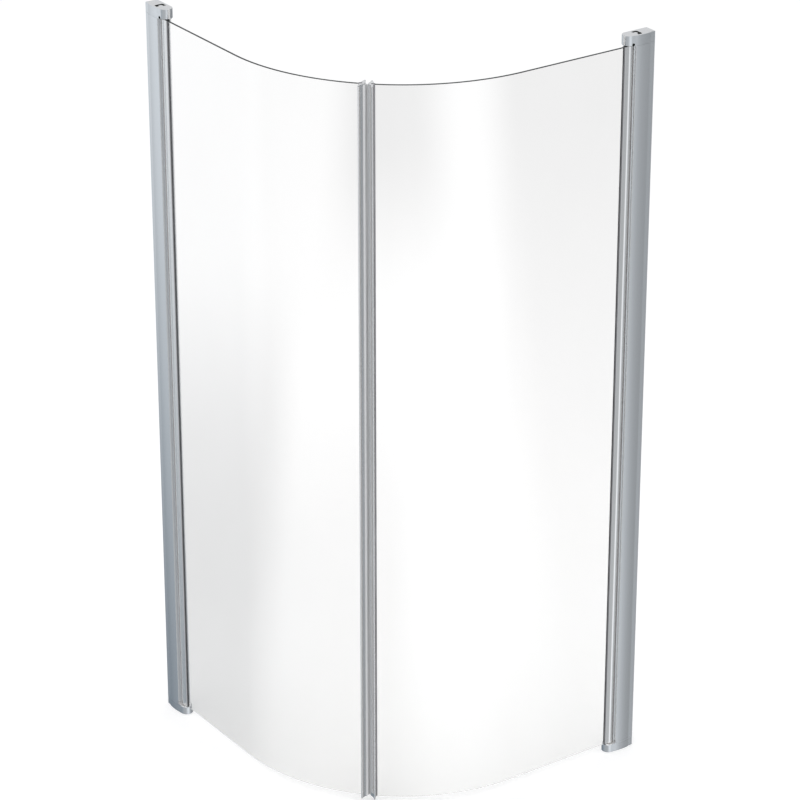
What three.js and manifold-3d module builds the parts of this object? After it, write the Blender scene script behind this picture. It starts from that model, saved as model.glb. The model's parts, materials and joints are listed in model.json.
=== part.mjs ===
import * as THREE from 'three';
import { mergeVertices } from 'three/addons/utils/BufferGeometryUtils.js';
import Module from 'manifold-3d';

// Corner shower enclosure. Lengths in mm, +Z up, room corner towards -X +Y.
// Each side is drawn in its own frame: u runs out from the wall, v runs from the
// glass line to the outside of the shower, z is height. Left and right are mirror images.

// Overall size
const width = 900;
const height = 2000;
const glassRadius = 492;
const glassThickness = 5;

// Clearances
const fitGap = 0.3;
const swingGap = 0.7;
const endGap = 1.5;
const jointGap = 0.5;
const cutOver = 1;
const weldShare = 0.001;

// Column
const hingeReach = 68;
const hingeInset = 3.8;
const postWall = 1.5;
const faceEdge = 14.9;
const faceRise = 1.5;
const channelShow = 14.5;
const channelBase = 2;
const channelReach = 38;
const wallHoleRadius = 3;
const wallHoleShares = [0.15, 0.45, 0.85];
const webStart = 44;
const ledgeWidth = 1.1;
const ledgeRise = 0.6;
const recessEndAngle = 255;
const chamberEndAngle = 235;

// Caps
const topCapHeight = 26.5;
const footCapHeight = 23.5;
const noseOverhang = 6;
const noseTaper = 2;
const plugHeight = 14;
const slotDepth = 12;
const slotStart = 37;
const slotBar = 6.5;
const slotInner = 13.8;
const slotOuter = 10.2;
const slotLeg = 9;
const slotBlob = 5;
const slotCorner = 4;
const accessRadius = 2.8;
const accessDepth = 6;
const accessLift = 3.8;
const accessSetback = 2;

// Hinge
const tubeRadius = 11;
const boreRadius = 6.2;
const hingeArm = 7.4;
const pinRadius = 4;
const pinGrip = 12;
const pinReach = 15;
const pinChamfer = 0.8;
const bushDepth = 18;
const bushFlange = 0.8;
const bushFlangeRadius = 8.5;

// Glazing pockets and gaskets
const pocketHalf = 5.4;
const pocketWall = 1.4;
const pocketDepth = 9;
const pocketRound = 1;
const gasketWall = 1;
const gasketNose = 2.6;
const gasketTip = 3.1;

// Meeting profiles
const jointFace = 3.2;
const throatHalf = 4.2;
const outerHornReach = 22;
const outerHornInner = 14.4;
const outerHornOuter = 17.6;
const innerHornReach = 22.5;
const innerHornInner = 7.2;
const innerHornOuter = 10.4;
const hornScoop = 2.6;
const hornRound = 1.2;
const gripMouth = 17;
const gripPocketDepth = 6.4;
const gripWall = 1.6;
const magnetRoot = 2.4;
const magnetRootHalf = 1.6;
const magnetHalf = 3.4;
const gripCapPlate = 1.8;
const gripCapPlug = 10;

// Clamp screws
const screwRadius = 2;
const screwHeadRadius = 4;
const screwHeadHeight = 2.4;
const screwReach = 6;
const screwSetback = 26;
const screwHoleRadius = 2.4;
const screwHeightShares = [0.12, 0.5, 0.88];

// How far a horn's hollow reaches along it, and how much its sloping wall is thickened
const chamberShare = 0.6;
const slopeShare = 1.2;

// Glass and door heights
const doorFoot = footCapHeight + endGap;
const doorHead = height - topCapHeight - endGap;

// Places worked out from the sizes above
const postFoot = footCapHeight + fitGap;
const postHead = height - topCapHeight - fitGap;
const noseRadius = tubeRadius + noseOverhang;
const columnBack = -hingeInset - noseRadius;
const faceCrown = faceEdge + faceRise;
const glassLine = width / 2 - faceCrown;
const arcStart = width / 2 + glassLine - glassRadius;
const noseTop = noseRadius - hingeInset;
const recessRadius = tubeRadius + swingGap;
const ledgeEnd = hingeReach - hingeInset - pocketHalf - swingGap;
const ledgeTop = tubeRadius - hingeInset - ledgeRise;
const faceEnd = ledgeEnd - ledgeWidth;
const hingeMouth = hingeArm + pocketDepth;
const channelOut = faceEdge - postWall - fitGap;
const channelIn = columnBack + postWall + fitGap;
const glassHalf = glassThickness / 2;
const meetingAngle = Math.PI / 4;

const arcSteps = 8;
const glassSteps = 36;
const turnSteps = 40;

const wasm = await Module();
wasm.setup();

const degrees = (angle) => angle * Math.PI / 180;

// Points of an arc about (u, v) from one angle to another, both in radians
function arc(u, v, radius, from, to, steps) {
  const points = [];
  for (let i = 0; i <= steps; i += 1) {
    const angle = from + (to - from) * i / steps;
    points.push([u + radius * Math.cos(angle), v + radius * Math.sin(angle)]);
  }
  return points;
}

// Points of a curve from a to b pulled sideways at its middle
function scoop(a, b, depth, steps) {
  const length = Math.hypot(b[0] - a[0], b[1] - a[1]);
  const side = [(a[1] - b[1]) / length, (b[0] - a[0]) / length];
  const points = [];
  for (let i = 0; i <= steps; i += 1) {
    const t = i / steps;
    const pull = 4 * depth * t * (1 - t);
    points.push([a[0] + (b[0] - a[0]) * t + side[0] * pull, a[1] + (b[1] - a[1]) * t + side[1] * pull]);
  }
  return points;
}

// A point given along and across the curved glass, counted from where the doors meet
function bend([along, out]) {
  const angle = meetingAngle + along / glassRadius;
  const reach = glassRadius + out;
  return [arcStart + reach * Math.cos(angle), -glassRadius + reach * Math.sin(angle)];
}

const turned = (points, hand) => points.map(([u, v]) => new THREE.Vector2(u, hand * v));

// An upright bar of one outline
function prism(outline, low, high, hand) {
  const shape = new THREE.Shape(turned(outline, hand));
  const geometry = new THREE.ExtrudeGeometry(shape, { depth: high - low, steps: 1, bevelEnabled: false });
  geometry.translate(0, 0, low);
  return geometry;
}

// A round body about Z from its profile of radius and height
function lathe(profile) {
  const points = profile.map(([radius, z]) => new THREE.Vector2(radius, z));
  const geometry = new THREE.LatheGeometry(points, turnSteps);
  geometry.rotateX(Math.PI / 2);
  return geometry;
}

function rod(radius, low, high) {
  return lathe([[0, low], [radius, low], [radius, high], [0, high]]);
}

function toSolid(geometry) {
  const bare = geometry.clone();
  bare.deleteAttribute('normal');
  bare.deleteAttribute('uv');
  const merged = mergeVertices(bare, fitGap * weldShare);
  const mesh = new wasm.Mesh({
    numProp: 3,
    vertProperties: new Float32Array(merged.attributes.position.array),
    triVerts: new Uint32Array(merged.index.array),
  });
  return new wasm.Manifold(mesh);
}

function toGeometry(solid) {
  const mesh = solid.getMesh();
  const geometry = new THREE.BufferGeometry();
  geometry.setAttribute('position', new THREE.BufferAttribute(new Float32Array(mesh.vertProperties), 3));
  geometry.setIndex(new THREE.BufferAttribute(new Uint32Array(mesh.triVerts), 1));
  return geometry;
}

function joinAndCut(bodies, cuts) {
  let solid = toSolid(bodies[0]);
  for (const body of bodies.slice(1)) {
    solid = solid.add(toSolid(body));
  }
  for (const cut of cuts) {
    solid = solid.subtract(toSolid(cut));
  }
  return toGeometry(solid);
}

function material(color, roughness, metalness) {
  return new THREE.MeshStandardMaterial({ color, roughness, metalness });
}

const satin = () => material(0xb9bdc4, 0.35, 0.9);
const capMetal = () => material(0xc3c6cc, 0.4, 0.8);
const steel = () => material(0x9fa3a8, 0.3, 1);
const rubber = () => material(0x1d1f22, 0.75, 0);
const nylon = () => material(0xd9dad8, 0.6, 0);
const magnetGrey = () => material(0x6f757c, 0.6, 0);

function clearGlass() {
  const glass = material(0xeef4f3, 0.05, 0);
  glass.transparent = true;
  glass.opacity = 0.25;
  return glass;
}

function piece(name, geometry, finish) {
  geometry.computeVertexNormals();
  const mesh = new THREE.Mesh(geometry, finish);
  mesh.name = name;
  return mesh;
}

// The column's outside face, a shallow curve from one edge to the other
function facePoints() {
  const half = (faceEnd - channelShow) / 2;
  const radius = (half * half + faceRise * faceRise) / (2 * faceRise);
  const spread = Math.asin(half / radius);
  const quarter = Math.PI / 2;
  return arc(channelShow + half, faceCrown - radius, radius, quarter - spread, quarter + spread, arcSteps);
}

// The height at a share of the post's length
const alongPost = (share) => postFoot + (postHead - postFoot) * share;

// Screw holes bored across the inner leg of a post or channel
function screwHoles(hand) {
  return screwHeightShares.map((share) => {
    const hole = rod(screwHoleRadius, -screwReach - cutOver, screwReach + cutOver);
    hole.rotateX(Math.PI / 2);
    hole.translate(screwSetback, hand * columnBack, alongPost(share));
    return hole;
  });
}

function wallChannel(hand) {
  const outline = [
    [0, channelIn], [channelReach, channelIn], [channelReach, channelIn + postWall],
    [channelBase, channelIn + postWall], [channelBase, channelOut - postWall],
    [channelReach, channelOut - postWall], [channelReach, channelOut], [0, channelOut],
  ];
  const bar = prism(outline, postFoot, postHead, hand);
  const wallHoles = wallHoleShares.map((share) => {
    const hole = rod(wallHoleRadius, -cutOver, channelBase + cutOver);
    hole.rotateY(Math.PI / 2);
    hole.translate(0, hand * (channelIn + channelOut) / 2, alongPost(share));
    return hole;
  });
  return joinAndCut([bar], [...screwHoles(hand), ...wallHoles]);
}

// The closed chamber behind the hinge recess, drawn in by a wall thickness
function postChamber(wall) {
  const floor = columnBack + wall;
  const start = webStart + wall;
  const behind = arc(hingeReach, -hingeInset, recessRadius + wall, degrees(chamberEndAngle), Math.PI, arcSteps);
  return [
    [start, floor],
    [behind[0][0], floor],
    ...behind,
    [hingeReach - recessRadius - wall, faceEdge - wall],
    [start, faceEdge - wall],
  ];
}

function post(hand) {
  const recessStart = Math.PI - Math.acos((hingeReach - ledgeEnd) / recessRadius);
  const recessEnd = degrees(recessEndAngle);
  const recess = arc(hingeReach, -hingeInset, recessRadius, recessEnd, recessStart, 2 * arcSteps);
  const outline = [
    [channelShow, columnBack],
    [recess[0][0], columnBack],
    ...recess,
    [ledgeEnd, ledgeTop],
    [faceEnd, ledgeTop + ledgeRise],
    ...facePoints(),
    [channelShow, faceEdge - postWall],
    [webStart, faceEdge - postWall],
    [webStart, columnBack + postWall],
    [channelShow, columnBack + postWall],
  ];
  const chamber = prism(postChamber(postWall), postFoot - cutOver, postHead + cutOver, hand);
  return joinAndCut([prism(outline, postFoot, postHead, hand)], [chamber, ...screwHoles(hand)]);
}

// The body of a cap, which runs on into the round nose
function capBlock(hand, capHeight) {
  const outline = [
    [0, columnBack], [hingeReach, columnBack], [hingeReach, noseTop],
    ...facePoints(),
    [channelShow, channelOut], [0, channelOut],
  ];
  return prism(outline, 0, capHeight, hand);
}

function capNose(hand, capHeight, taper) {
  const nose = lathe([
    [0, 0], [noseRadius - taper, 0], [noseRadius, taper], [noseRadius, capHeight], [0, capHeight],
  ]);
  nose.translate(hingeReach, -hand * hingeInset, 0);
  return nose;
}

function capPlug(hand) {
  return prism(postChamber(postWall + fitGap), -plugHeight, fitGap, hand);
}

function pinHole(hand) {
  const hole = rod(pinRadius + fitGap, -cutOver, pinGrip + fitGap);
  hole.translate(hingeReach, -hand * hingeInset, 0);
  return hole;
}

// The curved slot in the top of the upper cap
function capSlot(hand, capHeight) {
  const inner = slotStart + slotBar;
  const left = Math.PI;
  const quarter = Math.PI / 2;
  const outline = [
    [inner + slotLeg, -slotInner],
    ...arc(slotStart + slotCorner, slotCorner - slotInner, slotCorner, left + quarter, left, arcSteps),
    ...arc(slotStart + slotCorner, slotOuter - slotCorner, slotCorner, left, quarter, arcSteps),
    [inner + slotBlob, slotOuter],
    [inner + slotBlob, slotOuter - slotBar],
    [inner, slotOuter - slotBar],
    [inner, slotBar - slotInner],
    [inner + slotLeg, slotBar - slotInner],
  ];
  return prism(outline, capHeight - slotDepth, capHeight + cutOver, hand);
}

function accessHole(hand) {
  const hole = rod(accessRadius, -accessDepth, faceCrown);
  hole.rotateX(-hand * Math.PI / 2);
  hole.translate(hingeReach - accessSetback, hand * noseTop, accessLift);
  return hole;
}

// Both caps are drawn with the post on their lower side; the foot cap is turned over.
function topCap(hand) {
  const bodies = [capBlock(hand, topCapHeight), capNose(hand, topCapHeight, noseTaper), capPlug(hand)];
  const cap = joinAndCut(bodies, [pinHole(hand), capSlot(hand, topCapHeight), accessHole(hand)]);
  cap.translate(0, 0, height - topCapHeight);
  return cap;
}

function footCap(hand) {
  const bodies = [capBlock(-hand, footCapHeight), capNose(-hand, footCapHeight, noseTaper), capPlug(-hand)];
  const cap = joinAndCut(bodies, [pinHole(-hand)]);
  cap.rotateX(Math.PI);
  cap.translate(0, 0, footCapHeight);
  return cap;
}

// A pin held in a cap, drawn for the top cap from its upper end down
function pivotPin() {
  return lathe([
    [0, -pinReach], [pinRadius - pinChamfer, -pinReach], [pinRadius, pinChamfer - pinReach],
    [pinRadius, pinGrip], [0, pinGrip],
  ]);
}

function pivotBush() {
  return lathe([
    [pinRadius + fitGap, -bushDepth], [boreRadius - fitGap, -bushDepth], [boreRadius - fitGap, fitGap],
    [bushFlangeRadius, fitGap], [bushFlangeRadius, fitGap + bushFlange],
    [pinRadius + fitGap, fitGap + bushFlange], [pinRadius + fitGap, -bushDepth],
  ]);
}

// The turning tube with its glazing pocket
function hingeProfile(hand) {
  const mouth = hingeReach + hingeMouth;
  const pocketIn = pocketHalf - pocketWall;
  const outerFoot = Math.asin((pocketHalf + hingeInset) / tubeRadius);
  const innerFoot = 2 * Math.PI + Math.asin((hingeInset - pocketHalf) / tubeRadius);
  const outline = [
    [mouth, pocketHalf - pocketRound], [mouth - pocketRound, pocketHalf],
    ...arc(hingeReach, -hingeInset, tubeRadius, outerFoot, innerFoot, 3 * arcSteps),
    [mouth - pocketRound, -pocketHalf], [mouth, pocketRound - pocketHalf],
    [mouth, -pocketIn], [mouth - pocketDepth, -pocketIn],
    [mouth - pocketDepth, pocketIn], [mouth, pocketIn],
  ];
  const bore = rod(boreRadius, doorFoot - cutOver, doorHead + cutOver);
  bore.translate(hingeReach, -hand * hingeInset, 0);
  return joinAndCut([prism(outline, doorFoot, doorHead, hand)], [bore]);
}

// A channel gasket around one edge of the glass: base, two arms and two sloping lips
function gasketOutline(base, mouth) {
  const inside = glassHalf + fitGap;
  const outside = pocketHalf - pocketWall - fitGap;
  const upper = [
    [base, outside], [mouth + fitGap, outside], [mouth + fitGap, pocketHalf - pocketRound],
    [mouth + fitGap + gasketNose, gasketTip + fitGap], [mouth + fitGap + gasketNose, inside],
    [base + gasketWall, inside],
  ];
  const lower = upper.map(([along, out]) => [along, -out]).reverse();
  return [...upper, ...lower];
}

function hingeGasket(hand) {
  const base = hingeReach + hingeMouth - pocketDepth + fitGap;
  return prism(gasketOutline(base, hingeReach + hingeMouth), doorFoot, doorHead, hand);
}

function meetingGasket(hand) {
  const outline = gasketOutline(gripMouth - gripPocketDepth + fitGap, gripMouth);
  return prism(outline.map(bend), doorFoot, doorHead, hand);
}

function curvedGlass(hand) {
  const start = hingeReach + hingeMouth - pocketDepth + 2 * fitGap + gasketWall;
  const endAlong = gripMouth - gripPocketDepth + 2 * fitGap + gasketWall;
  const endAngle = meetingAngle + endAlong / glassRadius;
  const quarter = Math.PI / 2;
  const outline = [
    [start, glassHalf],
    ...arc(arcStart, -glassRadius, glassRadius + glassHalf, quarter, endAngle, glassSteps),
    ...arc(arcStart, -glassRadius, glassRadius - glassHalf, endAngle, quarter, glassSteps),
    [start, -glassHalf],
  ];
  return prism(outline, doorFoot, doorHead, hand);
}

// Half of the crossed grip where the doors meet: two horns with the glazing pocket behind
function gripOutline() {
  const mouthIn = pocketHalf - pocketWall;
  const floor = gripMouth - gripPocketDepth;
  const rootHalf = magnetRootHalf + fitGap;
  const rootEnd = jointFace + magnetRoot + 2 * fitGap;
  const outerTip = [
    [outerHornInner, outerHornReach], [outerHornInner + hornRound, outerHornReach + hornRound],
    [outerHornOuter - hornRound, outerHornReach + hornRound], [outerHornOuter, outerHornReach],
  ];
  const innerTip = [
    [innerHornOuter, -innerHornReach], [innerHornOuter - hornRound, -innerHornReach - hornRound],
    [innerHornInner + hornRound, -innerHornReach - hornRound], [innerHornInner, -innerHornReach],
  ];
  return [
    [jointFace, rootHalf],
    ...scoop([jointFace, throatHalf], outerTip[0], -hornScoop, arcSteps),
    ...outerTip.slice(1),
    [gripMouth, pocketHalf], [gripMouth, mouthIn], [floor, mouthIn],
    [floor, -mouthIn], [gripMouth, -mouthIn], [gripMouth, -pocketHalf],
    ...innerTip,
    ...scoop([innerHornInner, -innerHornReach], [jointFace, -throatHalf], -hornScoop / 2, arcSteps).slice(1),
    [jointFace, -rootHalf], [rootEnd, -rootHalf], [rootEnd, rootHalf],
  ];
}

// The hollow inside one horn, from its thick end up to a share of its length.
// side is 1 for the outer horn and -1 for the inner one.
function hornChamber(wall, side, tipInner, tipOuter, reach, scoopDepth) {
  const shelf = pocketHalf + wall / 2;
  const firstShare = (shelf - throatHalf) / (reach - throatHalf);
  const inner = [];
  const outer = [];
  for (let i = 0; i <= arcSteps; i += 1) {
    const share = firstShare + (chamberShare - firstShare) * i / arcSteps;
    const out = throatHalf + (reach - throatHalf) * share;
    const flare = jointFace + (tipInner - jointFace) * share + 4 * scoopDepth * share * (1 - share);
    inner.push([flare + wall * slopeShare, side * out]);
    const taper = (out - pocketHalf) / (reach - pocketHalf);
    outer.push([gripMouth + (tipOuter - gripMouth) * taper - wall, side * out]);
  }
  return [...inner, outer[arcSteps], outer[0]];
}

function hornChambers(wall) {
  return [
    hornChamber(wall, 1, outerHornInner, outerHornOuter, outerHornReach, hornScoop),
    hornChamber(wall, -1, innerHornInner, innerHornOuter, innerHornReach, hornScoop / 2),
  ];
}

function gripProfile(hand) {
  const low = doorFoot + gripCapPlate + fitGap;
  const high = doorHead - gripCapPlate - fitGap;
  const chambers = hornChambers(gripWall).map((chamber) => (
    prism(chamber.map(bend), low - cutOver, high + cutOver, hand)));
  return joinAndCut([prism(gripOutline().map(bend), low, high, hand)], chambers);
}

// Drawn for the top end; the lower one is turned over
function gripCap(hand) {
  const plate = prism(gripOutline().map(bend), 0, gripCapPlate, hand);
  const plugs = hornChambers(gripWall + fitGap).map((plug) => (
    prism(plug.map(bend), -gripCapPlug, gripCapPlate / 2, hand)));
  return joinAndCut([plate, ...plugs], []);
}

function magnetStrip(hand) {
  const rootEnd = jointFace + fitGap + magnetRoot;
  const back = jointFace - fitGap;
  const outline = [
    [jointGap, -magnetHalf], [back, -magnetHalf], [back, -magnetRootHalf], [rootEnd, -magnetRootHalf],
    [rootEnd, magnetRootHalf], [back, magnetRootHalf], [back, magnetHalf], [jointGap, magnetHalf],
  ];
  const low = doorFoot + gripCapPlate + fitGap;
  return prism(outline.map(bend), low, doorHead - gripCapPlate - fitGap, hand);
}

// A pan-head screw about Z, its head downwards
function clampScrew() {
  return lathe([
    [0, -fitGap - screwHeadHeight], [screwHeadRadius / 2, -fitGap - screwHeadHeight],
    [screwHeadRadius, -fitGap - screwHeadHeight / 2], [screwHeadRadius, -fitGap],
    [screwRadius, -fitGap], [screwRadius, screwReach], [0, screwReach],
  ]);
}

function addScrews(group, name, hand) {
  screwHeightShares.forEach((share, index) => {
    const screw = piece(`${name}_clamp_screw_${index + 1}`, clampScrew(), steel());
    screw.rotation.x = -hand * Math.PI / 2;
    screw.position.set(screwSetback, hand * columnBack, alongPost(share));
    group.add(screw);
  });
}

function addPivots(group, name, hand) {
  const ends = [['top', height - topCapHeight, doorHead, 0], ['foot', footCapHeight, doorFoot, Math.PI]];
  for (const [end, capFace, tubeFace, turn] of ends) {
    const pin = piece(`${name}_${end}_pivot_pin`, pivotPin(), steel());
    pin.position.set(hingeReach, -hand * hingeInset, capFace);
    pin.rotation.x = turn;
    const bush = piece(`${name}_${end}_pivot_bush`, pivotBush(), nylon());
    bush.position.set(hingeReach, -hand * hingeInset, tubeFace);
    bush.rotation.x = turn;
    group.add(pin, bush);
  }
}

function addGripCaps(group, name, hand) {
  const top = piece(`${name}_grip_top_cap`, gripCap(hand), capMetal());
  top.position.z = doorHead - gripCapPlate;
  const foot = piece(`${name}_grip_foot_cap`, gripCap(-hand), capMetal());
  foot.rotation.x = Math.PI;
  foot.position.z = doorFoot + gripCapPlate;
  group.add(top, foot);
}

function side(name, hand) {
  const group = new THREE.Group();
  group.name = `${name}_side`;
  group.add(
    piece(`${name}_wall_channel`, wallChannel(hand), satin()),
    piece(`${name}_post`, post(hand), satin()),
    piece(`${name}_top_cap`, topCap(hand), capMetal()),
    piece(`${name}_foot_cap`, footCap(hand), capMetal()),
    piece(`${name}_hinge_profile`, hingeProfile(hand), satin()),
    piece(`${name}_hinge_gasket`, hingeGasket(hand), rubber()),
    piece(`${name}_glass`, curvedGlass(hand), clearGlass()),
    piece(`${name}_grip_profile`, gripProfile(hand), satin()),
    piece(`${name}_grip_gasket`, meetingGasket(hand), rubber()),
    piece(`${name}_magnet_strip`, magnetStrip(hand), magnetGrey()),
  );
  addScrews(group, name, hand);
  addPivots(group, name, hand);
  addGripCaps(group, name, hand);
  return group;
}

const left = side('left', -1);
left.position.set(-width / 2, -glassLine, 0);

const right = side('right', 1);
right.rotation.z = -Math.PI / 2;
right.position.set(glassLine, width / 2, 0);

const enclosure = new THREE.Group();
enclosure.name = 'corner_shower_enclosure';
enclosure.add(left, right);

export default enclosure;
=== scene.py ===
import json
import math

import bmesh
import bpy
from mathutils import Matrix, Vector

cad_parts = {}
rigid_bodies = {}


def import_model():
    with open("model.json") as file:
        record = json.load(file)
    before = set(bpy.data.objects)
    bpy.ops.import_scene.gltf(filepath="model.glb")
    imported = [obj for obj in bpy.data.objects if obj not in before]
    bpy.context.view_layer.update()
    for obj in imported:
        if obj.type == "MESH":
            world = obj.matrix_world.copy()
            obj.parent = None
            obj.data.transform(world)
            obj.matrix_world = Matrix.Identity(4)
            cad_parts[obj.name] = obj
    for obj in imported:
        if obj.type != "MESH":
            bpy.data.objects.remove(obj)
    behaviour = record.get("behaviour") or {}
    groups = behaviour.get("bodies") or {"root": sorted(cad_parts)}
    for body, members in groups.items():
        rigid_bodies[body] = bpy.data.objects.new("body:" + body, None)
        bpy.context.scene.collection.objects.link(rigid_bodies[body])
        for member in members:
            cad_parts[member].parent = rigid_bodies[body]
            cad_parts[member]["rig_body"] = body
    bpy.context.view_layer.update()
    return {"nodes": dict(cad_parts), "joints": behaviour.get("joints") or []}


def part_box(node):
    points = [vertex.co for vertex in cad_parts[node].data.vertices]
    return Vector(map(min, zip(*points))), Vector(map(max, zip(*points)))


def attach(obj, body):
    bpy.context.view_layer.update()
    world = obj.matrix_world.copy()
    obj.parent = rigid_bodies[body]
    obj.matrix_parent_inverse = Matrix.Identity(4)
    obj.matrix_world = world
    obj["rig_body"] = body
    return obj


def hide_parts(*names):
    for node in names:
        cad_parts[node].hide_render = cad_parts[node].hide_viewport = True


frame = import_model()
bpy.context.scene.view_settings.view_transform = "Standard"

# Sizes are in metres and angles in degrees. These are the edge radii of extruded, cast, moulded, turned
# and ground parts
EXTRUDED = 0.00035
CAST = 0.0005
MOULDED = 0.0003
TURNED = 0.00025
ARRIS = 0.0019

# Angles above which an edge is rounded, on any part or on the glass, and above which its shading breaks.
# The weight makes the large faces lead the shading of the small ones
CORNER = 35
GLASS_CORNER = 60
SHADING_CORNER = 40
SHADING_WEIGHT = 80

# Points nearer than this are joined, and so are faces that turn less than this from each other
WELD = 0.000002
FLAT = 0.2

# How much the normal of a face that looks up points up at least, and that of an upright face at most
UP_SHARE = 0.9
UPRIGHT_SHARE = 0.5

# Heights of the columns' ends, and how far from them the rim of a cap may lie
SEAMS = [corner.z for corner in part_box("left_post")]
SEAM_REACH = 0.0005

# The span in which most values of a noise lie
NOISE_SPAN = (0.3, 0.7)


class Tree:
    """Adds nodes to one node tree and links them by socket name."""

    def __init__(self, tree):
        self.tree = tree
        tree.nodes.clear()

    def add(self, kind, inputs=None, **settings):
        node = self.tree.nodes.new(kind)
        for key, value in settings.items():
            setattr(node, key, value)
        for key, value in (inputs or {}).items():
            socket = node.inputs[key]
            if isinstance(value, bpy.types.NodeSocket):
                self.tree.links.new(value, socket)
            else:
                socket.default_value = value
        return node

    def math(self, operation, *values):
        return self.add("ShaderNodeMath", dict(enumerate(values)), operation=operation).outputs[0]

    def product(self, a, b):
        return self.math("MULTIPLY", a, b)

    def range(self, value, span, to, smooth=False):
        """Takes a value from one span to another and holds it beyond both ends."""
        kind = "SMOOTHSTEP" if smooth else "LINEAR"
        inputs = {"Value": value, "From Min": span[0], "From Max": span[1], "To Min": to[0], "To Max": to[1]}
        return self.add("ShaderNodeMapRange", inputs, interpolation_type=kind).outputs["Result"]

    def ramp(self, value, stops):
        node = self.add("ShaderNodeValToRGB", {"Fac": value})
        elements = node.color_ramp.elements
        while len(elements) < len(stops):
            elements.new(0.5)
        for element, (place, color) in zip(elements, stops):
            element.position = place
            element.color = (*color, 1)
        return node.outputs["Color"]

    def tones(self, value, first, second, span=NOISE_SPAN):
        """Two colours that follow a noise."""
        return self.ramp(value, [(span[0], first), (span[1], second)])

    def greys(self, value, middle, spread, tint):
        """Two greys that follow a noise, as far below and above the middle one."""
        return self.tones(value, cool(middle - spread, tint), cool(middle + spread, tint))

    def grey(self, value):
        """A number as a colour."""
        return self.add("ShaderNodeCombineColor", {"Red": value, "Green": value, "Blue": value}).outputs[0]

    def blend(self, factor, a, b):
        return self.add("ShaderNodeMixRGB", {"Fac": factor, "Color1": a, "Color2": b}).outputs[0]

    def mix(self, factor, a, b):
        return self.add("ShaderNodeMixShader", {0: factor, 1: a, 2: b}).outputs[0]

    def either(self, a, b):
        return self.math("MAXIMUM", a, b)


def cool(grey, tint=0.05):
    """A grey with a little less red and a little more blue."""
    return grey * (1 - tint), grey, grey * (1 + tint)


def noise(tree, waves, stretch=(1, 1, 1), detail=3.0):
    """A noise with so many waves to the metre; a small share in the stretch draws it out along that axis."""
    place = tree.add("ShaderNodeTexCoord").outputs["Object"]
    mapped = tree.add("ShaderNodeMapping", {"Vector": place, "Scale": stretch}).outputs["Vector"]
    inputs = {"Vector": mapped, "Scale": waves, "Detail": detail}
    return tree.add("ShaderNodeTexNoise", inputs).outputs["Fac"]


def new_material(name):
    material = bpy.data.materials.new(name)
    material.use_nodes = True
    return material, Tree(material.node_tree)


def finish_material(tree, shader):
    tree.add("ShaderNodeOutputMaterial", {"Surface": shader})


def relief(tree, height, strength, depth):
    inputs = {"Height": height, "Strength": strength, "Distance": depth}
    return tree.add("ShaderNodeBump", inputs).outputs["Normal"]


def surface(tree, color, rough, normal, more=None):
    """Ends a material in one solid surface; more is any other inputs of its shader, by name."""
    inputs = {"Base Color": color, "Roughness": rough, "Normal": normal, **(more or {})}
    finish_material(tree, tree.add("ShaderNodeBsdfPrincipled", inputs).outputs[0])


def satin_aluminium(name, grey, tint=0.01, matt=0.0):
    """Anodised extrusion: faint lines along its length, a fine etched grain, slow changes of tone."""
    material, tree = new_material(name)
    lines = noise(tree, waves=1400, stretch=(1, 1, 0.004), detail=2)
    grain = noise(tree, waves=2600, detail=2)
    tone = noise(tree, waves=3, stretch=(1, 1, 0.25))
    color = tree.greys(tone, grey, spread=0.02, tint=tint)
    rough = tree.range(tree.math("ADD", lines, grain), (0.7, 1.3), (0.20 + matt, 0.27 + matt))
    height = tree.math("ADD", tree.product(lines, 0.6), tree.product(grain, 0.4))
    surface(tree, color, rough, relief(tree, height, strength=0.12, depth=0.00005), {"Metallic": 1.0})
    return material


def cast_metal():
    """Die-cast caps, bead-blasted and then lacquered silver."""
    material, tree = new_material("silver_lacquered_casting")
    grain = noise(tree, waves=900, detail=4)
    tone = noise(tree, waves=40)
    color = tree.greys(tone, 0.72, spread=0.02, tint=0.01)
    rough = tree.range(grain, NOISE_SPAN, (0.18, 0.25))
    surface(tree, color, rough, relief(tree, grain, strength=0.15, depth=0.0001), {
        "Metallic": 1.0, "Coat Weight": 0.1, "Coat Roughness": 0.3,
    })
    return material


def turned_steel():
    """Stainless steel with the fine rings that turning leaves."""
    material, tree = new_material("turned_stainless_steel")
    rings = noise(tree, waves=2200, stretch=(0.05, 0.05, 1), detail=2)
    color = tree.tones(rings, (0.50, 0.505, 0.51), (0.60, 0.60, 0.60))
    rough = tree.range(rings, NOISE_SPAN, (0.2, 0.34))
    surface(tree, color, rough, relief(tree, rings, strength=0.15, depth=0.00005), {"Metallic": 1.0})
    return material


def sealing_rubber(name, grey):
    """Sealing rubber, drawn through a die: lines along its length and a dusty bloom."""
    material, tree = new_material(name)
    lines = noise(tree, waves=1800, stretch=(1, 1, 0.01), detail=2)
    bloom = noise(tree, waves=30, stretch=(1, 1, 0.3))
    dark, pale = ((tone, tone, tone * 1.05) for tone in (grey * 0.85, grey * 1.15))
    color = tree.tones(bloom, dark, pale, span=(0.35, 0.75))
    rough = tree.range(bloom, NOISE_SPAN, (0.42, 0.6))
    surface(tree, color, rough, relief(tree, lines, strength=0.25, depth=0.0001))
    return material


def hollow_shade_paint():
    """Matt black painted shade in the hollows of a cap, standing in for the dark inside them."""
    material, tree = new_material("black_painted_hollow_shade")
    grain = noise(tree, waves=1200, detail=2)
    color = tree.tones(grain, (0.010, 0.012, 0.009), (0.020, 0.022, 0.017))
    rough = tree.range(grain, NOISE_SPAN, (0.55, 0.7))
    normal = relief(tree, grain, strength=0.2, depth=0.00005)
    surface(tree, color, rough, normal, {"Specular IOR Level": 0.3})
    return material


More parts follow.
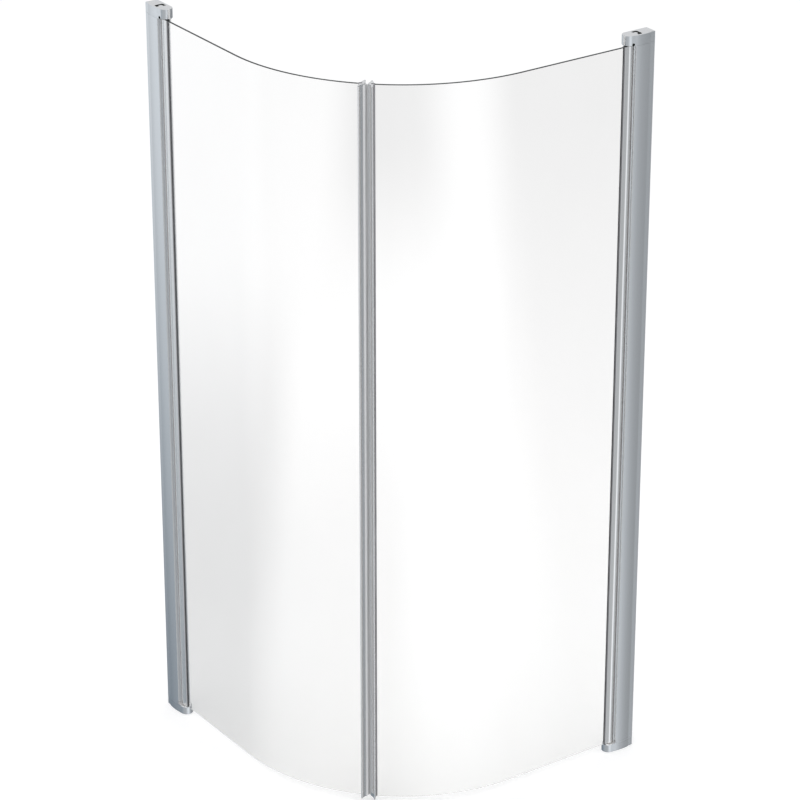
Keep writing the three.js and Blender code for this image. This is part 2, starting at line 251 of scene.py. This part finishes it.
def bush_nylon():
    """Natural nylon, slightly cloudy and waxy."""
    material, tree = new_material("natural_nylon")
    cloud = noise(tree, waves=120)
    color = tree.tones(cloud, (0.66, 0.65, 0.60), (0.74, 0.73, 0.69))
    rough = tree.range(cloud, NOISE_SPAN, (0.38, 0.5))
    surface(tree, color, rough, relief(tree, cloud, strength=0.1, depth=0.0001), {
        "Subsurface Weight": 0.15, "Subsurface Scale": 0.002,
    })
    return material


def moulded_plastic(name, grey):
    """Drawn plastic for the sleeve of the magnetic strip; a pale copy is the painted highlight on the left
    grip.
    """
    material, tree = new_material(name)
    lines = noise(tree, waves=1500, stretch=(1, 1, 0.01), detail=2)
    color = tree.greys(lines, grey, spread=0.04, tint=0.01)
    rough = tree.range(lines, NOISE_SPAN, (0.42, 0.55))
    surface(tree, color, rough, relief(tree, lines, strength=0.2, depth=0.0001))
    return material


GLASS_IOR = 1.52
GLASS_SHADOW = (0.94, 0.95, 0.95, 1)


def let_lamps_through(tree, shader):
    """Glass that hardly darkens what stands behind it: rays to a lamp pass straight on."""
    shadow = tree.add("ShaderNodeLightPath").outputs["Is Shadow Ray"]
    clear = tree.add("ShaderNodeBsdfTransparent", {"Color": GLASS_SHADOW}).outputs[0]
    return tree.mix(shadow, shader, clear)


def clear_glass():
    """Toughened clear glass with a faint trace of water marks in its polish."""
    material, tree = new_material("toughened_clear_glass")
    marks = noise(tree, waves=9, stretch=(1, 1, 0.5), detail=4)
    rough = tree.range(marks, (0.45, 0.75), (0.0, 0.02))
    tint = tree.tones(marks, (0.994, 0.992, 0.984), (0.982, 0.980, 0.971), span=(0.3, 0.8))
    shader = tree.add("ShaderNodeBsdfPrincipled", {
        "Base Color": tint, "Roughness": rough, "IOR": GLASS_IOR, "Transmission Weight": 1.0,
    })
    finish_material(tree, let_lamps_through(tree, shader.outputs[0]))
    return material


def glass_edge_painted_dark():
    """The ground edge of the pane, painted dark as the shade seen looking into the depth of the glass."""
    material, tree = new_material("ground_glass_edge_painted_dark")
    grind = noise(tree, waves=1600, detail=2)
    color = tree.tones(grind, (0.020, 0.023, 0.023), (0.040, 0.044, 0.044))
    rough = tree.range(grind, NOISE_SPAN, (0.25, 0.45))
    surface(tree, color, rough, relief(tree, grind, strength=0.15, depth=0.00005), {"IOR": GLASS_IOR})
    return material


# The camera, fitted to the photograph by the part's corners and edges. Its lens and film width are in
# millimetres
CAMERA_PLACE = (6.5964, -4.6102, 4.7283)
CAMERA_LOOK = (-0.74196, 0.51951, -0.42380)
CAMERA_LENS = 155.2
CAMERA_FILM = 36
CAMERA_RANGE = 60


def add_camera():
    data = bpy.data.cameras.new("studio_camera")
    data.lens = CAMERA_LENS
    data.sensor_width = CAMERA_FILM
    data.clip_end = CAMERA_RANGE
    camera = bpy.data.objects.new("studio_camera", data)
    camera.location = CAMERA_PLACE
    camera.rotation_euler = Vector(CAMERA_LOOK).to_track_quat("-Z", "Y").to_euler()
    bpy.context.scene.collection.objects.link(camera)
    bpy.context.scene.camera = camera


# The floor: half its width, the squares along a side, how far it lies under the part, how pale it is,
# and how much it glows to the eye and through glass
FLOOR_HALF = 14
FLOOR_SQUARES = 8
FLOOR_DROP = 0.0005
FLOOR_PALE = 0.8
FLOOR_GLOW = 0.32

# Patches of painted shade that the floor shows through the glass. Each fades across the photograph's view
# and away from the photographer, and a fade is a start and an end, and the values there
ACROSS = (0.574, 0.819)
AWAY = (-0.819, 0.574)
LEFT_SHADE_PATCH = ((-0.30, -0.46), (0, 0.15)), ((1.7, 3.4), (1, 0))
NEAR_SHADE_PATCH = ((-0.04, 0.12), (0.08, 0)), ((0.9, 2.4), (1, 0))
FAR_SHADE_PATCH = ((0.08, 0.30), (1, 0)), ((2.7, 4.5), (0, 0.14))
FAR_SHADE_PATCH_SHIFT = 0.03
RIGHT_SHADE_PATCH = ((0.30, 0.50), (0, 1)), ((0.5, 4.6), (0.05, 0.12))
FRONT_FADE = (-0.2, 0.8), (0.65, 1)


def reach(tree, place, direction):
    """How far a place on the floor lies in a direction."""
    return tree.math("ADD", tree.product(place["X"], direction[0]), tree.product(place["Y"], direction[1]))


def painted_shade_patch(tree, across, beyond, fades, smooth=True):
    """One patch of painted shade, which may fade evenly instead of smoothly away from the photographer."""
    sideways = tree.range(across, *fades[0], smooth=True)
    return tree.product(sideways, tree.range(beyond, *fades[1], smooth=smooth))


def floor_finish():
    """White, with patches of painted shade for the rays that come through glass, and not there for mirrored
    ones.
    """
    material, tree = new_material("studio_floor")
    path = tree.add("ShaderNodeLightPath").outputs
    spot = tree.add("ShaderNodeTexCoord").outputs["Object"]
    place = tree.add("ShaderNodeSeparateXYZ", {"Vector": spot}).outputs
    across = reach(tree, place, ACROSS)
    beyond = reach(tree, place, AWAY)
    off_middle = tree.math("ABSOLUTE", tree.math("ADD", across, FAR_SHADE_PATCH_SHIFT))
    left = painted_shade_patch(tree, across, beyond, LEFT_SHADE_PATCH)
    near = painted_shade_patch(tree, across, beyond, NEAR_SHADE_PATCH)
    far = painted_shade_patch(tree, off_middle, beyond, FAR_SHADE_PATCH)
    right = painted_shade_patch(tree, across, beyond, RIGHT_SHADE_PATCH, smooth=False)
    shade = tree.math("ADD", tree.math("ADD", left, near), tree.math("ADD", far, right))
    shade = tree.product(shade, tree.range(beyond, *FRONT_FADE))
    tone = tree.math("SUBTRACT", 1, tree.product(shade, path["Is Transmission Ray"]))
    soft = tree.grey(tree.product(tone, FLOOR_PALE))
    base = tree.add("ShaderNodeBsdfDiffuse", {"Color": soft}).outputs[0]
    lift = tree.product(tree.either(path["Is Camera Ray"], path["Is Transmission Ray"]), FLOOR_GLOW)
    glow = tree.add("ShaderNodeEmission", {"Color": tree.grey(tone), "Strength": lift}).outputs[0]
    lit = tree.add("ShaderNodeAddShader", {0: base, 1: glow}).outputs[0]
    clear = tree.add("ShaderNodeBsdfTransparent").outputs[0]
    mirrored = tree.math("SUBTRACT", path["Is Glossy Ray"], path["Is Transmission Ray"])
    finish_material(tree, tree.mix(mirrored, lit, clear))
    return material


def add_floor():
    """A wide floor that keeps the shadow."""
    bm = bmesh.new()
    bmesh.ops.create_grid(bm, x_segments=FLOOR_SQUARES, y_segments=FLOOR_SQUARES, size=FLOOR_HALF)
    mesh = bpy.data.meshes.new("studio_floor")
    bm.to_mesh(mesh)
    bm.free()
    floor = bpy.data.objects.new("studio_floor", mesh)
    floor.location.z = -FLOOR_DROP
    bpy.context.scene.collection.objects.link(floor)
    mesh.materials.append(floor_finish())


# The studio's walls as mirror-like surfaces see them, at eye level and lower down. Each grey has its
# place around the part, as a share of a turn about Z that starts at -X
WALLS = [
    (0.00, cool(0.54)), (0.08, cool(0.90)), (0.11, cool(0.98)), (0.135, cool(1.04)),
    (0.165, cool(0.52, 0.08)), (0.22, cool(0.55, 0.08)), (0.29, cool(0.55)), (0.38, cool(0.58)),
    (0.44, cool(0.86)), (0.47, cool(0.97)), (0.50, cool(0.98)), (0.54, cool(0.80)),
    (0.585, cool(0.46)), (0.64, cool(0.42)), (0.75, cool(0.34)), (0.86, cool(0.39)), (1.00, cool(0.54)),
]
LOW_WALLS = [
    (0.00, cool(0.27, 0.15)), (0.05, cool(0.185, 0.25)), (0.14, cool(0.285, 0.15)),
    (0.19, cool(0.44, 0.12)), (0.28, cool(0.50)), (0.38, cool(0.52)), (0.44, cool(0.84)),
    (0.50, cool(1.07)), (0.54, cool(1.0)), (0.585, cool(0.62)), (0.63, cool(0.40)), (0.72, cool(0.34)),
    (0.86, cool(0.38)), (1.00, cool(0.27, 0.15)),
]

# How the low walls, the ground and the ceiling take over as a ray points further down or up, and the
# colours of the ground, the ceiling and what matt surfaces are lit by
LOW_FADE = (-0.33, -0.51), (0, 1)
GROUND_FADE = (-0.56, -0.80), (0, 1)
CEILING_FADE = (0.0, 0.40), (0, 0.9)
GROUND = (0.56, 0.57, 0.59, 1)
CEILING = (0.95, 0.95, 0.96, 1)
FILL = (0.85, 0.85, 0.86, 1)
WHITE = (1, 1, 1, 1)


def add_world():
    """White to the eye and through glass; mirror-like surfaces see the studio, and matt ones an even fill."""
    world = bpy.data.worlds.new("studio_world")
    world.use_nodes = True
    world.cycles.sampling_method = "NONE"
    bpy.context.scene.world = world
    tree = Tree(world.node_tree)
    path = tree.add("ShaderNodeLightPath").outputs
    heading = tree.add("ShaderNodeTexCoord").outputs["Generated"]
    axes = tree.add("ShaderNodeSeparateXYZ", {"Vector": heading}).outputs
    turn = tree.math("MULTIPLY_ADD", tree.math("ARCTAN2", axes["Y"], axes["X"]), 1 / math.tau, 0.5)
    low = tree.range(axes["Z"], *LOW_FADE)
    studio = tree.blend(low, tree.ramp(turn, WALLS), tree.ramp(turn, LOW_WALLS))
    studio = tree.blend(tree.range(axes["Z"], *GROUND_FADE, smooth=True), studio, GROUND)
    studio = tree.blend(tree.range(axes["Z"], *CEILING_FADE, smooth=True), studio, CEILING)
    seen, fill, mirrored = (
        tree.add("ShaderNodeBackground", {"Color": color}).outputs[0] for color in (WHITE, FILL, studio)
    )
    lit = tree.mix(path["Is Glossy Ray"], fill, mirrored)
    shown = tree.mix(tree.either(path["Is Camera Ray"], path["Is Transmission Ray"]), lit, seen)
    tree.add("ShaderNodeOutputWorld", {"Surface": shown})


def add_lamp(name, place, target, size, power):
    data = bpy.data.lights.new(name, "AREA")
    data.shape = "DISK"
    data.size = size
    data.energy = power
    lamp = bpy.data.objects.new(name, data)
    lamp.location = place
    aim = Vector(target) - Vector(place)
    lamp.rotation_euler = aim.to_track_quat("-Z", "Y").to_euler()
    bpy.context.scene.collection.objects.link(lamp)


def mesh_of(node):
    """A CAD node's mesh with its triangles joined back into flat faces."""
    bm = bmesh.new()
    bm.from_mesh(frame["nodes"][node].data)
    bmesh.ops.remove_doubles(bm, verts=bm.verts, dist=WELD)
    bmesh.ops.dissolve_limit(bm, angle_limit=math.radians(FLAT), verts=bm.verts, edges=bm.edges)
    return bm


def faces_up(face):
    return face.normal.z > UP_SHARE


def is_upright(face):
    return abs(face.normal.z) < UPRIGHT_SHARE


def at_seam(edge):
    """Whether an edge lies where a cap and its column meet, which are sawn and moulded square."""
    return any(all(abs(v.co.z - seam) < SEAM_REACH for v in edge.verts) for seam in SEAMS)


def sharp_edges(bm, angle):
    limit = math.radians(angle)
    return [e for e in bm.edges if len(e.link_faces) == 2 and e.calc_face_angle(0) > limit]


def bevel(bm, edges, radius, material=-1):
    """Rolls edges; the new faces have the material of those beside them unless one is given."""
    bmesh.ops.bevel(bm, geom=edges, offset=radius, offset_type="OFFSET", segments=2, profile=0.5,
                    affect="EDGES", clamp_overlap=True, miter_outer="SHARP", material=material)


def round_edges(bm, radius):
    """Rolls every sharp edge but those at a seam, as no real part has a knife edge."""
    bevel(bm, [e for e in sharp_edges(bm, CORNER) if not at_seam(e)], radius)


def to_piece(bm, name, node, materials):
    """Makes a mesh a piece of the scene, which stands for its CAD node and moves with it."""
    mesh = bpy.data.meshes.new(name)
    bm.normal_update()
    bm.to_mesh(mesh)
    bm.free()
    for material in materials:
        mesh.materials.append(material)
    mesh.shade_smooth()
    mesh.set_sharp_from_angle(angle=math.radians(SHADING_CORNER))
    piece = bpy.data.objects.new(name, mesh)
    bpy.context.scene.collection.objects.link(piece)
    weighted = piece.modifiers.new("even_shading", "WEIGHTED_NORMAL")
    weighted.keep_sharp = True
    weighted.weight = SHADING_WEIGHT
    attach(piece, frame["nodes"][node]["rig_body"])
    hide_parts(node)


def rounded_copy(node, suffix, radius, materials):
    bm = mesh_of(node)
    round_edges(bm, radius)
    to_piece(bm, f"{node}_{suffix}", node, materials)


def add_pane(node):
    """The pane with its arrises; the top face and the arrises beside it show the ground edge's painted shade.
    """
    bm = mesh_of(node)
    for face in bm.faces:
        face.material_index = 1 if faces_up(face) else 0
    upper = [e for e in sharp_edges(bm, GLASS_CORNER) if any(f.material_index for f in e.link_faces)]
    bevel(bm, upper, ARRIS, 1)
    others = [e for e in sharp_edges(bm, GLASS_CORNER) if not any(f.material_index for f in e.link_faces)]
    bevel(bm, others, MOULDED)
    to_piece(bm, f"{node}_pane", node, [glass, edge])


# The hollow of a post around the hinge axis
TUBE_HOLLOW_RADIUS = 0.0145


def add_post(side):
    """The column's extrusion; the hollow around the hinge tube gets paler aluminium, painted light on its
    shade.
    """
    node = f"{side}_post"
    bm = mesh_of(node)
    hinge = next(Vector(joint["pos_m"][:2]) for joint in frame["joints"] if joint["child"] == f"{side}_door")
    for face in bm.faces:
        beside = max((v.co.xy - hinge).length for v in face.verts) < TUBE_HOLLOW_RADIUS
        face.material_index = 1 if beside and is_upright(face) else 0
    round_edges(bm, EXTRUDED)
    to_piece(bm, f"{node}_extrusion", node, [satin, shade_lifting_aluminium])


# The faces of a grip profile in darker satin as painted shade, or in a pale strip as painted highlight:
# the span in which they turn about Z, and their place in its list of materials
SHADED_SATIN, PAINTED_HIGHLIGHT_STRIP = 1, 2
GRIP_FACES = {"left": [(-16, -2, PAINTED_HIGHLIGHT_STRIP), (-2, 18, SHADED_SATIN)], "right": [(-95, -20, SHADED_SATIN)]}


def add_grip(side):
    """The grip profile; some faces are darker as painted shade, and the left one has a pale painted
    highlight along the throat side of its outer horn.
    """
    node = f"{side}_grip_profile"
    bm = mesh_of(node)
    round_edges(bm, EXTRUDED)
    bm.normal_update()
    for face in bm.faces:
        turn = math.degrees(math.atan2(face.normal.y, face.normal.x))
        face.material_index = 0
        for low, high, place in GRIP_FACES[side]:
            if is_upright(face) and low <= turn < high:
                face.material_index = place
    to_piece(bm, f"{node}_extrusion", node, [highlit_aluminium, satin, pale_highlight_strip])


# The slot in the top of a cap: the height of its floor, and how wide the painted shade shows around its rim
SLOT_FLOOR = 1.988
SLOT_SHADE_LIP = 0.0012

# The access hole in the outside face of a top cap: its distance from the middle of the part along that
# face, its height and radius, and how far off a point of a hollow may be
HOLE_REACH = 0.384
HOLE_HEIGHT = 1.9773
HOLE_RADIUS = 0.0028
HOLLOW_SLACK = 0.0001

# A ring of painted shade that widens the dark of the access hole: its wall within the hole, how far it laps
# over and stands proud of the face, how deep it goes and the sides it is turned in
SHADE_RING_WALL = 0.0002
SHADE_RING_LIP = 0.0009
SHADE_RING_RISE = 0.0002
SHADE_RING_DEPTH = 0.0006
SHADE_RING_SIDES = 32


def add_top_cap(side):
    """The top cap, whose slot and access hole are painted black as shade."""
    node = f"{side}_top_cap"
    bm = mesh_of(node)
    along = 0 if side == "left" else 1
    for face in bm.faces:
        low = min(v.co.z for v in face.verts)
        off_axis = max(math.hypot(abs(v.co[along]) - HOLE_REACH, v.co.z - HOLE_HEIGHT) for v in face.verts)
        hollow = abs(low - SLOT_FLOOR) < HOLLOW_SLACK or off_axis < HOLE_RADIUS + HOLLOW_SLACK
        face.material_index = 1 if hollow else 0
    rims = [e for e in bm.edges if {f.material_index for f in e.link_faces} == {0, 1}]
    around = [e for e in rims if e.verts[0].co.z < SLOT_FLOOR]
    corners = {v for e in around for v in e.verts}
    middle = sum((v.co for v in corners), Vector()) / len(corners)
    plain = [f for e in around for f in e.link_faces if not f.material_index]
    outward = sum((f.normal for f in plain), Vector()).normalized()
    bevel(bm, [e for e in rims if e not in around], SLOT_SHADE_LIP, 1)
    round_edges(bm, CAST)
    add_shade_ring(bm, middle, outward)
    to_piece(bm, f"{node}_casting", node, [casting, hollow_shade])


def add_shade_ring(bm, middle, outward):
    """A ring of painted shade around the access hole, just proud of the cap."""
    inside, outside = HOLE_RADIUS - SHADE_RING_WALL, HOLE_RADIUS + SHADE_RING_LIP
    rings = lathe(bm, [
        (inside, -SHADE_RING_DEPTH), (inside, SHADE_RING_RISE), (outside, SHADE_RING_RISE), (outside, -SHADE_RING_DEPTH),
    ], SHADE_RING_SIDES, closed=True)
    turn = turn_to(outward)
    for ring in rings:
        for vert in ring:
            vert.co = middle + turn @ vert.co
    faces = {f for ring in rings for v in ring for f in v.link_faces}
    for face in faces:
        face.material_index = 1
    bmesh.ops.recalc_face_normals(bm, faces=list(faces))


def add_foot_cap(side):
    """The foot cap, whose upward faces are paler aluminium: painted light on the shade under the hinge tube.
    """
    node = f"{side}_foot_cap"
    bm = mesh_of(node)
    for face in bm.faces:
        face.material_index = 1 if faces_up(face) else 0
    round_edges(bm, CAST)
    to_piece(bm, f"{node}_casting", node, [casting, shade_lifting_aluminium])


def turn_to(direction):
    """The turn that takes the Z axis to a direction."""
    return Vector((0, 0, 1)).rotation_difference(Vector(direction)).to_matrix()


def lathe(bm, profile, sides, closed=False):
    """Turns a profile of radius and height about the local Z axis; returns its rings."""
    turns = [math.tau * i / sides for i in range(sides)]
    rings = []
    for radius, height in profile:
        rings.append([bm.verts.new((radius * math.cos(a), radius * math.sin(a), height)) for a in turns])
    following = rings[1:] + rings[:1] if closed else rings[1:]
    for lower, upper in zip(rings, following):
        for i in range(sides):
            j = (i + 1) % sides
            bm.faces.new((lower[i], lower[j], upper[j], upper[i]))
    return rings


# The head of a clamp screw, which is a pan head with a cross recess, along its own Z axis
HEAD_RADIUS = 0.004
HEAD_FLAT = 0.002
HEAD_SEAT = -0.0003
HEAD_SHOULDER = -0.0015
HEAD_TOP = -0.0027
HEAD_SIDES = 40
DOME_STEP = 15
RECESS_ARM = 0.0016
RECESS_HALF = 0.0004
RECESS_DEPTH = 0.0014
RECESS_TAPER_SHARE = 0.7

# Its threaded shank. A thread has a few rows of points to each pitch, whose depths are shares of its own
SHANK_RADIUS = 0.002
SHANK_END = 0.006
THREAD_PITCH = 0.0007
THREAD_DEPTH = 0.0003
THREAD_SHARES = (0.5, 0, 0.5, 1)
THREAD_ROWS = len(THREAD_SHARES)

# The way in which the shanks point, from inside the shower to the column's outside face
SCREW_DIRECTIONS = {"left": (0, -1, 0), "right": (1, 0, 0)}

# Points of a screw nearer than this are joined
SCREW_WELD = 0.0000001


def loop_edges(bm, ring):
    return [bm.edges.get(pair) or bm.edges.new(pair) for pair in zip(ring, ring[1:] + ring[:1])]


def cross_outline(arm, half):
    """Corners of a cross, counted anticlockwise."""
    corners = [(arm, -half), (arm, half), (half, half)]
    return [(x * math.cos(a) - y * math.sin(a), x * math.sin(a) + y * math.cos(a))
            for a in (0, math.pi / 2, math.pi, 3 * math.pi / 2) for x, y in corners]


def add_screw_head(bm):
    """A pan head with its cross recess, the top of the head towards -Z; returns the ring at its seat."""
    dome = []
    for angle in range(0, 90 + DOME_STEP, DOME_STEP):
        radius = HEAD_FLAT + (HEAD_RADIUS - HEAD_FLAT) * math.cos(math.radians(angle))
        dome.append((radius, HEAD_SHOULDER - (HEAD_SHOULDER - HEAD_TOP) * math.sin(math.radians(angle))))
    rings = lathe(bm, [(SHANK_RADIUS, HEAD_SEAT), (HEAD_RADIUS, HEAD_SEAT), *dome], HEAD_SIDES)
    rim = [bm.verts.new((x, y, HEAD_TOP)) for x, y in cross_outline(RECESS_ARM, RECESS_HALF)]
    bmesh.ops.triangle_fill(bm, edges=loop_edges(bm, rings[-1]) + loop_edges(bm, rim), use_beauty=True)
    foot = []
    for vert in rim:
        x, y = vert.co.x * RECESS_TAPER_SHARE, vert.co.y * RECESS_TAPER_SHARE
        foot.append(bm.verts.new((x, y, HEAD_TOP + RECESS_DEPTH)))
    for i, vert in enumerate(rim):
        j = (i + 1) % len(rim)
        bm.faces.new((vert, rim[j], foot[j], foot[i]))
    bm.faces.new(foot)
    return rings[0]


def add_thread(bm, start):
    """The threaded shank: rows of points that climb by one pitch in each turn, held within its ends."""
    sides = len(start)
    last = int(THREAD_ROWS * (SHANK_END - HEAD_SEAT) / THREAD_PITCH) + 2 * THREAD_ROWS
    rows = []
    for k in range(last + 1):
        rows.append([])
        for i in range(sides):
            height = HEAD_SEAT + THREAD_PITCH * ((k - THREAD_ROWS) / THREAD_ROWS + i / sides)
            share = THREAD_SHARES[k % THREAD_ROWS] if HEAD_SEAT < height < SHANK_END else 1
            height = min(max(height, HEAD_SEAT), SHANK_END)
            radius = SHANK_RADIUS - THREAD_DEPTH * share
            angle = math.tau * i / sides
            rows[-1].append(bm.verts.new((radius * math.cos(angle), radius * math.sin(angle), height)))
    for i in range(sides):
        j = (i + 1) % sides
        bm.faces.new((start[i], rows[0][i], rows[0][j], start[j]))
        for k in range(last):
            lift = 0 if j else THREAD_ROWS
            beside = rows[min(k + lift, last)][j], rows[min(k + 1 + lift, last)][j]
            if beside[0] is not beside[1]:
                bm.faces.new((rows[k][i], beside[0], beside[1], rows[k + 1][i]))
    bm.faces.new(rows[last])


def add_clamp_screw(node, direction):
    """A pan-head screw with its cross recess and thread; the shank points along the direction."""
    bm = bmesh.new()
    add_thread(bm, add_screw_head(bm))
    bmesh.ops.remove_doubles(bm, verts=bm.verts, dist=SCREW_WELD)
    bmesh.ops.dissolve_degenerate(bm, edges=bm.edges, dist=SCREW_WELD)
    bmesh.ops.recalc_face_normals(bm, faces=bm.faces)
    turn = turn_to(direction)
    low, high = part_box(node)
    middle = turn @ Vector((0, 0, (HEAD_TOP + SHANK_END) / 2))
    for vert in bm.verts:
        vert.co = turn @ vert.co + (low + high) / 2 - middle
    to_piece(bm, f"{node}_pan_head", node, [steel])


add_camera()
add_world()
add_floor()
add_lamp("overhead_softbox", place=(0.6, -0.6, 4.2), target=(0, 0, 1), size=2.4, power=30)

satin = satin_aluminium("satin_anodised_aluminium", grey=0.74)
# A paler copy for the hinge tubes and grips: painted highlight that brightens their shine
highlit_aluminium = satin_aluminium("aluminium_with_painted_highlight", grey=0.88, tint=-0.02)
# A paler, rougher copy: painted light that lifts the shade in the posts' hollows and on the foot caps
shade_lifting_aluminium = satin_aluminium("paler_aluminium_lifting_shade", grey=0.90, tint=0.0, matt=0.35)
casting = cast_metal()
steel = turned_steel()
rubber = {
    "hinge": sealing_rubber("dark_sealing_rubber", grey=0.18),
    "grip": sealing_rubber("grey_sealing_rubber", grey=0.33),
}
# Black painted shade for the caps' hollows
hollow_shade = hollow_shade_paint()
nylon = bush_nylon()
sleeve = moulded_plastic("magnetic_strip_sleeve", grey=0.57)
# A pale copy of the plastic, painted on the left grip as a highlight
pale_highlight_strip = moulded_plastic("pale_painted_highlight_strip", grey=0.88)
glass = clear_glass()
# The glass edge, painted dark as shade
edge = glass_edge_painted_dark()

for side in ("left", "right"):
    rounded_copy(f"{side}_wall_channel", "extrusion", EXTRUDED, [satin])
    add_post(side)
    # The hinge profile in the paler copy, as painted highlight
    rounded_copy(f"{side}_hinge_profile", "extrusion", EXTRUDED, [highlit_aluminium])
    add_grip(side)
    add_top_cap(side)
    add_foot_cap(side)
    for part in ("grip_top_cap", "grip_foot_cap"):
        rounded_copy(f"{side}_{part}", "casting", MOULDED, [casting])
    for part in ("hinge", "grip"):
        rounded_copy(f"{side}_{part}_gasket", "moulding", MOULDED, [rubber[part]])
    rounded_copy(f"{side}_magnet_strip", "moulding", MOULDED, [sleeve])
    for end in ("top", "foot"):
        rounded_copy(f"{side}_{end}_pivot_pin", "turning", TURNED, [steel])
        rounded_copy(f"{side}_{end}_pivot_bush", "moulding", TURNED, [nylon])
    for index in (1, 2, 3):
        add_clamp_screw(f"{side}_clamp_screw_{index}", SCREW_DIRECTIONS[side])
    add_pane(f"{side}_glass")
